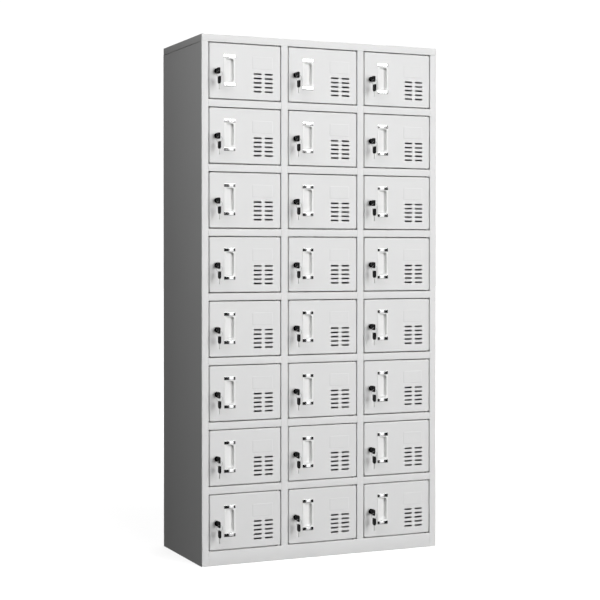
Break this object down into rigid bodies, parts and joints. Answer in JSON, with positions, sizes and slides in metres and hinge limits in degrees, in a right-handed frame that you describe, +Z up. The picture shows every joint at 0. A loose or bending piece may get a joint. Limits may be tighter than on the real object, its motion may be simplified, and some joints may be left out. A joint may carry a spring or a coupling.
{
  "type": "multi-door steel locker",
  "caption": "Free-standing light grey sheet-steel locker: columns of small inset lockable doors with recessed pulls, vent slots and keyed cam locks, on a plain plinth.",
  "frame": {"origin": "middle of the carcass footprint on the floor; the keys stand out in front of it", "axes": "+Z up, front faces -Y, +X to the right seen from the front"},
  "size_m": [0.9, 0.4335, 1.8],
  "materials": {
    "painted_steel": "light grey powder coat, fine texture, semi-gloss",
    "zinc_steel": "zinc-plated steel",
    "bright_chrome": "bright chrome plating",
    "white_plastic": "white moulded plastic",
    "black_plastic": "black moulded key bows"
  },
  "bodies": {
    "carcass": {"left_side_panel": "painted_steel", "right_side_panel": "painted_steel", "back_panel": "painted_steel", "top_cap": "painted_steel", "plinth_panel": "painted_steel", "bottom_panel": "painted_steel", "partitions": "painted_steel", "mullions": "painted_steel", "cross_rails": "painted_steel", "shelves": "painted_steel", "hinge_pins": "zinc_steel", "door_stops": "painted_steel"},
    "door_r1c1": {"door_r1c1": "painted_steel"},
    "lock_r1c1": {"lock_r1c1": "zinc_steel"},
    "door_r1c2": {"door_r1c2": "painted_steel"},
    "lock_r1c2": {"lock_r1c2": "zinc_steel"},
    "door_r1c3": {"door_r1c3": "painted_steel"},
    "lock_r1c3": {"lock_r1c3": "zinc_steel"},
    "door_r2c1": {"door_r2c1": "painted_steel"},
    "lock_r2c1": {"lock_r2c1": "zinc_steel"},
    "door_r2c2": {"door_r2c2": "painted_steel"},
    "lock_r2c2": {"lock_r2c2": "zinc_steel"},
    "door_r2c3": {"door_r2c3": "painted_steel"},
    "lock_r2c3": {"lock_r2c3": "zinc_steel"},
    "door_r3c1": {"door_r3c1": "painted_steel"},
    "lock_r3c1": {"lock_r3c1": "zinc_steel"},
    "door_r3c2": {"door_r3c2": "painted_steel"},
    "lock_r3c2": {"lock_r3c2": "zinc_steel"},
    "door_r3c3": {"door_r3c3": "painted_steel"},
    "lock_r3c3": {"lock_r3c3": "zinc_steel"},
    "door_r4c1": {"door_r4c1": "painted_steel"},
    "lock_r4c1": {"lock_r4c1": "zinc_steel"},
    "door_r4c2": {"door_r4c2": "painted_steel"},
    "lock_r4c2": {"lock_r4c2": "zinc_steel"},
    "door_r4c3": {"door_r4c3": "painted_steel"},
    "lock_r4c3": {"lock_r4c3": "zinc_steel"},
    "door_r5c1": {"door_r5c1": "painted_steel"},
    "lock_r5c1": {"lock_r5c1": "zinc_steel"},
    "door_r5c2": {"door_r5c2": "painted_steel"},
    "lock_r5c2": {"lock_r5c2": "zinc_steel"},
    "door_r5c3": {"door_r5c3": "painted_steel"},
    "lock_r5c3": {"lock_r5c3": "zinc_steel"},
    "door_r6c1": {"door_r6c1": "painted_steel"},
    "lock_r6c1": {"lock_r6c1": "zinc_steel"},
    "door_r6c2": {"door_r6c2": "painted_steel"},
    "lock_r6c2": {"lock_r6c2": "zinc_steel"},
    "door_r6c3": {"door_r6c3": "painted_steel"},
    "lock_r6c3": {"lock_r6c3": "zinc_steel"},
    "door_r7c1": {"door_r7c1": "painted_steel"},
    "lock_r7c1": {"lock_r7c1": "zinc_steel"},
    "door_r7c2": {"door_r7c2": "painted_steel"},
    "lock_r7c2": {"lock_r7c2": "zinc_steel"},
    "door_r7c3": {"door_r7c3": "painted_steel"},
    "lock_r7c3": {"lock_r7c3": "zinc_steel"},
    "door_r8c1": {"door_r8c1": "painted_steel"},
    "lock_r8c1": {"lock_r8c1": "zinc_steel"},
    "door_r8c2": {"door_r8c2": "painted_steel"},
    "lock_r8c2": {"lock_r8c2": "zinc_steel"},
    "door_r8c3": {"door_r8c3": "painted_steel"},
    "lock_r8c3": {"lock_r8c3": "zinc_steel"}
  },
  "joints": [
    {"name": "door_r1c1_swing", "type": "hinge", "parent": "carcass", "child": "door_r1c1", "pos_m": [-0.17333, -0.195, 1.67813], "axis": [0, 0, 1], "range_deg": [0, 110]},
    {"name": "lock_r1c1_turn", "type": "hinge", "parent": "door_r1c1", "child": "lock_r1c1", "pos_m": [-0.397, -0.2, 1.67625], "axis": [0, 1, 0], "range_deg": [0, 90]},
    {"name": "door_r1c2_swing", "type": "hinge", "parent": "carcass", "child": "door_r1c2", "pos_m": [0.11833, -0.195, 1.67813], "axis": [0, 0, 1], "range_deg": [0, 110]},
    {"name": "lock_r1c2_turn", "type": "hinge", "parent": "door_r1c2", "child": "lock_r1c2", "pos_m": [-0.10533, -0.2, 1.67625], "axis": [0, 1, 0], "range_deg": [0, 90]},
    {"name": "door_r1c3_swing", "type": "hinge", "parent": "carcass", "child": "door_r1c3", "pos_m": [0.41, -0.195, 1.67813], "axis": [0, 0, 1], "range_deg": [0, 110]},
    {"name": "lock_r1c3_turn", "type": "hinge", "parent": "door_r1c3", "child": "lock_r1c3", "pos_m": [0.18633, -0.2, 1.67625], "axis": [0, 1, 0], "range_deg": [0, 90]},
    {"name": "door_r2c1_swing", "type": "hinge", "parent": "carcass", "child": "door_r2c1", "pos_m": [-0.17333, -0.195, 1.45938], "axis": [0, 0, 1], "range_deg": [0, 110]},
    {"name": "lock_r2c1_turn", "type": "hinge", "parent": "door_r2c1", "child": "lock_r2c1", "pos_m": [-0.397, -0.2, 1.4575], "axis": [0, 1, 0], "range_deg": [0, 90]},
    {"name": "door_r2c2_swing", "type": "hinge", "parent": "carcass", "child": "door_r2c2", "pos_m": [0.11833, -0.195, 1.45938], "axis": [0, 0, 1], "range_deg": [0, 110]},
    {"name": "lock_r2c2_turn", "type": "hinge", "parent": "door_r2c2", "child": "lock_r2c2", "pos_m": [-0.10533, -0.2, 1.4575], "axis": [0, 1, 0], "range_deg": [0, 90]},
    {"name": "door_r2c3_swing", "type": "hinge", "parent": "carcass", "child": "door_r2c3", "pos_m": [0.41, -0.195, 1.45938], "axis": [0, 0, 1], "range_deg": [0, 110]},
    {"name": "lock_r2c3_turn", "type": "hinge", "parent": "door_r2c3", "child": "lock_r2c3", "pos_m": [0.18633, -0.2, 1.4575], "axis": [0, 1, 0], "range_deg": [0, 90]},
    {"name": "door_r3c1_swing", "type": "hinge", "parent": "carcass", "child": "door_r3c1", "pos_m": [-0.17333, -0.195, 1.24063], "axis": [0, 0, 1], "range_deg": [0, 110]},
    {"name": "lock_r3c1_turn", "type": "hinge", "parent": "door_r3c1", "child": "lock_r3c1", "pos_m": [-0.397, -0.2, 1.23875], "axis": [0, 1, 0], "range_deg": [0, 90]},
    {"name": "door_r3c2_swing", "type": "hinge", "parent": "carcass", "child": "door_r3c2", "pos_m": [0.11833, -0.195, 1.24063], "axis": [0, 0, 1], "range_deg": [0, 110]},
    {"name": "lock_r3c2_turn", "type": "hinge", "parent": "door_r3c2", "child": "lock_r3c2", "pos_m": [-0.10533, -0.2, 1.23875], "axis": [0, 1, 0], "range_deg": [0, 90]},
    {"name": "door_r3c3_swing", "type": "hinge", "parent": "carcass", "child": "door_r3c3", "pos_m": [0.41, -0.195, 1.24063], "axis": [0, 0, 1], "range_deg": [0, 110]},
    {"name": "lock_r3c3_turn", "type": "hinge", "parent": "door_r3c3", "child": "lock_r3c3", "pos_m": [0.18633, -0.2, 1.23875], "axis": [0, 1, 0], "range_deg": [0, 90]},
    {"name": "door_r4c1_swing", "type": "hinge", "parent": "carcass", "child": "door_r4c1", "pos_m": [-0.17333, -0.195, 1.02188], "axis": [0, 0, 1], "range_deg": [0, 110]},
    {"name": "lock_r4c1_turn", "type": "hinge", "parent": "door_r4c1", "child": "lock_r4c1", "pos_m": [-0.397, -0.2, 1.02], "axis": [0, 1, 0], "range_deg": [0, 90]},
    {"name": "door_r4c2_swing", "type": "hinge", "parent": "carcass", "child": "door_r4c2", "pos_m": [0.11833, -0.195, 1.02188], "axis": [0, 0, 1], "range_deg": [0, 110]},
    {"name": "lock_r4c2_turn", "type": "hinge", "parent": "door_r4c2", "child": "lock_r4c2", "pos_m": [-0.10533, -0.2, 1.02], "axis": [0, 1, 0], "range_deg": [0, 90]},
    {"name": "door_r4c3_swing", "type": "hinge", "parent": "carcass", "child": "door_r4c3", "pos_m": [0.41, -0.195, 1.02188], "axis": [0, 0, 1], "range_deg": [0, 110]},
    {"name": "lock_r4c3_turn", "type": "hinge", "parent": "door_r4c3", "child": "lock_r4c3", "pos_m": [0.18633, -0.2, 1.02], "axis": [0, 1, 0], "range_deg": [0, 90]},
    {"name": "door_r5c1_swing", "type": "hinge", "parent": "carcass", "child": "door_r5c1", "pos_m": [-0.17333, -0.195, 0.80312], "axis": [0, 0, 1], "range_deg": [0, 110]},
    {"name": "lock_r5c1_turn", "type": "hinge", "parent": "door_r5c1", "child": "lock_r5c1", "pos_m": [-0.397, -0.2, 0.80125], "axis": [0, 1, 0], "range_deg": [0, 90]},
    {"name": "door_r5c2_swing", "type": "hinge", "parent": "carcass", "child": "door_r5c2", "pos_m": [0.11833, -0.195, 0.80312], "axis": [0, 0, 1], "range_deg": [0, 110]},
    {"name": "lock_r5c2_turn", "type": "hinge", "parent": "door_r5c2", "child": "lock_r5c2", "pos_m": [-0.10533, -0.2, 0.80125], "axis": [0, 1, 0], "range_deg": [0, 90]},
    {"name": "door_r5c3_swing", "type": "hinge", "parent": "carcass", "child": "door_r5c3", "pos_m": [0.41, -0.195, 0.80312], "axis": [0, 0, 1], "range_deg": [0, 110]},
    {"name": "lock_r5c3_turn", "type": "hinge", "parent": "door_r5c3", "child": "lock_r5c3", "pos_m": [0.18633, -0.2, 0.80125], "axis": [0, 1, 0], "range_deg": [0, 90]},
    {"name": "door_r6c1_swing", "type": "hinge", "parent": "carcass", "child": "door_r6c1", "pos_m": [-0.17333, -0.195, 0.58437], "axis": [0, 0, 1], "range_deg": [0, 110]},
    {"name": "lock_r6c1_turn", "type": "hinge", "parent": "door_r6c1", "child": "lock_r6c1", "pos_m": [-0.397, -0.2, 0.5825], "axis": [0, 1, 0], "range_deg": [0, 90]},
    {"name": "door_r6c2_swing", "type": "hinge", "parent": "carcass", "child": "door_r6c2", "pos_m": [0.11833, -0.195, 0.58437], "axis": [0, 0, 1], "range_deg": [0, 110]},
    {"name": "lock_r6c2_turn", "type": "hinge", "parent": "door_r6c2", "child": "lock_r6c2", "pos_m": [-0.10533, -0.2, 0.5825], "axis": [0, 1, 0], "range_deg": [0, 90]},
    {"name": "door_r6c3_swing", "type": "hinge", "parent": "carcass", "child": "door_r6c3", "pos_m": [0.41, -0.195, 0.58437], "axis": [0, 0, 1], "range_deg": [0, 110]},
    {"name": "lock_r6c3_turn", "type": "hinge", "parent": "door_r6c3", "child": "lock_r6c3", "pos_m": [0.18633, -0.2, 0.5825], "axis": [0, 1, 0], "range_deg": [0, 90]},
    {"name": "door_r7c1_swing", "type": "hinge", "parent": "carcass", "child": "door_r7c1", "pos_m": [-0.17333, -0.195, 0.36562], "axis": [0, 0, 1], "range_deg": [0, 110]},
    {"name": "lock_r7c1_turn", "type": "hinge", "parent": "door_r7c1", "child": "lock_r7c1", "pos_m": [-0.397, -0.2, 0.36375], "axis": [0, 1, 0], "range_deg": [0, 90]},
    {"name": "door_r7c2_swing", "type": "hinge", "parent": "carcass", "child": "door_r7c2", "pos_m": [0.11833, -0.195, 0.36562], "axis": [0, 0, 1], "range_deg": [0, 110]},
    {"name": "lock_r7c2_turn", "type": "hinge", "parent": "door_r7c2", "child": "lock_r7c2", "pos_m": [-0.10533, -0.2, 0.36375], "axis": [0, 1, 0], "range_deg": [0, 90]},
    {"name": "door_r7c3_swing", "type": "hinge", "parent": "carcass", "child": "door_r7c3", "pos_m": [0.41, -0.195, 0.36562], "axis": [0, 0, 1], "range_deg": [0, 110]},
    {"name": "lock_r7c3_turn", "type": "hinge", "parent": "door_r7c3", "child": "lock_r7c3", "pos_m": [0.18633, -0.2, 0.36375], "axis": [0, 1, 0], "range_deg": [0, 90]},
    {"name": "door_r8c1_swing", "type": "hinge", "parent": "carcass", "child": "door_r8c1", "pos_m": [-0.17333, -0.195, 0.14688], "axis": [0, 0, 1], "range_deg": [0, 110]},
    {"name": "lock_r8c1_turn", "type": "hinge", "parent": "door_r8c1", "child": "lock_r8c1", "pos_m": [-0.397, -0.2, 0.145], "axis": [0, 1, 0], "range_deg": [0, 90]},
    {"name": "door_r8c2_swing", "type": "hinge", "parent": "carcass", "child": "door_r8c2", "pos_m": [0.11833, -0.195, 0.14688], "axis": [0, 0, 1], "range_deg": [0, 110]},
    {"name": "lock_r8c2_turn", "type": "hinge", "parent": "door_r8c2", "child": "lock_r8c2", "pos_m": [-0.10533, -0.2, 0.145], "axis": [0, 1, 0], "range_deg": [0, 90]},
    {"name": "door_r8c3_swing", "type": "hinge", "parent": "carcass", "child": "door_r8c3", "pos_m": [0.41, -0.195, 0.14688], "axis": [0, 0, 1], "range_deg": [0, 110]},
    {"name": "lock_r8c3_turn", "type": "hinge", "parent": "door_r8c3", "child": "lock_r8c3", "pos_m": [0.18633, -0.2, 0.145], "axis": [0, 1, 0], "range_deg": [0, 90]}
  ]
}
